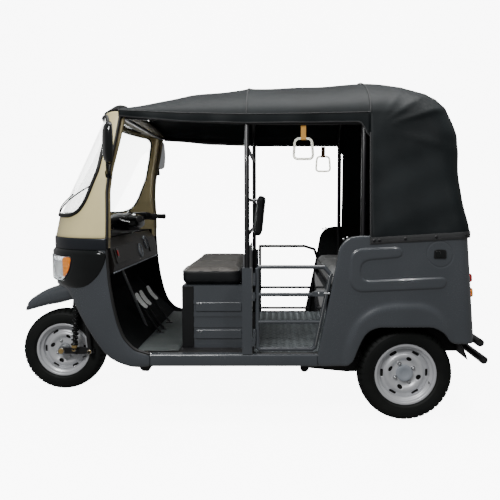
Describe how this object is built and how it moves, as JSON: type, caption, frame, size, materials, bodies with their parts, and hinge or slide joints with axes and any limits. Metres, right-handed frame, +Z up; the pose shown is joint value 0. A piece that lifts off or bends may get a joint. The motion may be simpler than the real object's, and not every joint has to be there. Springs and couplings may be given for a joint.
{
  "type": "auto rickshaw",
  "caption": "Three-wheeled passenger tricycle: steered front wheel, driver's seat and bench under a soft hood, hinged side gate and rear lid.",
  "frame": {"origin": "on the ground under the middle of the overall length and width", "axes": "+X forward, +Y to the vehicle's left, +Z up"},
  "size_m": [2.7239, 1.5494, 1.885],
  "materials": {
    "body_paint": "gloss",
    "band_paint": "satin",
    "surround_paint": "gloss",
    "black_paint": "satin",
    "floor_metal": "satin",
    "black_plastic": "matte",
    "gloss_black": "gloss",
    "clear_lens": "gloss",
    "screen_glass": "gloss",
    "amber_lens": "gloss",
    "red_lens": "gloss",
    "fascia_plastic": "satin",
    "steel": "satin",
    "grey_vinyl": "satin",
    "black_vinyl": "satin",
    "hood_vinyl": "satin",
    "strap": "matte",
    "cast": "matte",
    "wheel_silver": "satin",
    "tyre_rubber": "matte",
    "seal_rubber": "matte"
  },
  "bodies": {
    "vehicle": {"frame": "black_paint", "floor": "floor_metal", "front_cowl": "body_paint", "cowl_band": "band_paint", "bulkhead": "black_plastic", "screen_surround": "surround_paint", "screen_seal": "seal_rubber", "windscreen": "screen_glass", "header": "gloss_black", "lamp_pods": "gloss_black", "head_lenses": "clear_lens", "indicators": "amber_lens", "fascia": "fascia_plastic", "pedals": "steel", "b_pillars": "body_paint", "partition": "band_paint", "seat_box": "body_paint", "driver_cushion": "grey_vinyl", "driver_backrest": "black_vinyl", "engine": "cast", "roof_frame": "black_paint", "canopy": "hood_vinyl", "rear_body": "body_paint", "bench_base": "body_paint", "bench_cushion": "grey_vinyl", "bench_backrest": "grey_vinyl", "guard_rail": "black_paint", "hand_grips": "strap", "mirrors": "gloss_black", "rear_bumper": "black_paint", "tail_lamps": "red_lens", "rear_suspension": "black_paint", "rear_axle": "cast"},
    "steering": {"handlebar": "gloss_black", "fork": "black_paint", "front_shocks": "steel", "front_mudguard": "body_paint"},
    "front_wheel": {"front_tyre": "tyre_rubber", "front_rim": "wheel_silver"},
    "left_wheel": {"left_tyre": "tyre_rubber", "left_rim": "wheel_silver"},
    "right_wheel": {"right_tyre": "tyre_rubber", "right_rim": "wheel_silver"},
    "gate": {"gate": "body_paint"},
    "rear_lid": {"rear_lid": "body_paint"}
  },
  "joints": [
    {"name": "steering", "type": "hinge", "parent": "vehicle", "child": "steering", "pos_m": [1.17, 0, 0.254], "axis": [-0.4067, 0, 0.9135], "range_deg": [-35, 35]},
    {"name": "front_wheel_spin", "type": "hinge", "parent": "steering", "child": "front_wheel", "pos_m": [1.108, 0, 0.254], "axis": [0, 1, 0], "continuous": true},
    {"name": "left_wheel_spin", "type": "hinge", "parent": "vehicle", "child": "left_wheel", "pos_m": [-0.922, 0.545, 0.254], "axis": [0, 1, 0], "continuous": true},
    {"name": "right_wheel_spin", "type": "hinge", "parent": "vehicle", "child": "right_wheel", "pos_m": [-0.922, -0.545, 0.254], "axis": [0, 1, 0], "continuous": true},
    {"name": "gate_hinge", "type": "hinge", "parent": "vehicle", "child": "gate", "pos_m": [-0.111, 0.652, 0.56], "axis": [0, 0, -1], "range_deg": [0, 95]},
    {"name": "lid_hinge", "type": "hinge", "parent": "vehicle", "child": "rear_lid", "pos_m": [-1.25255, 0, 0.90626], "axis": [0, 1, 0], "range_deg": [0, 80]}
  ]
}
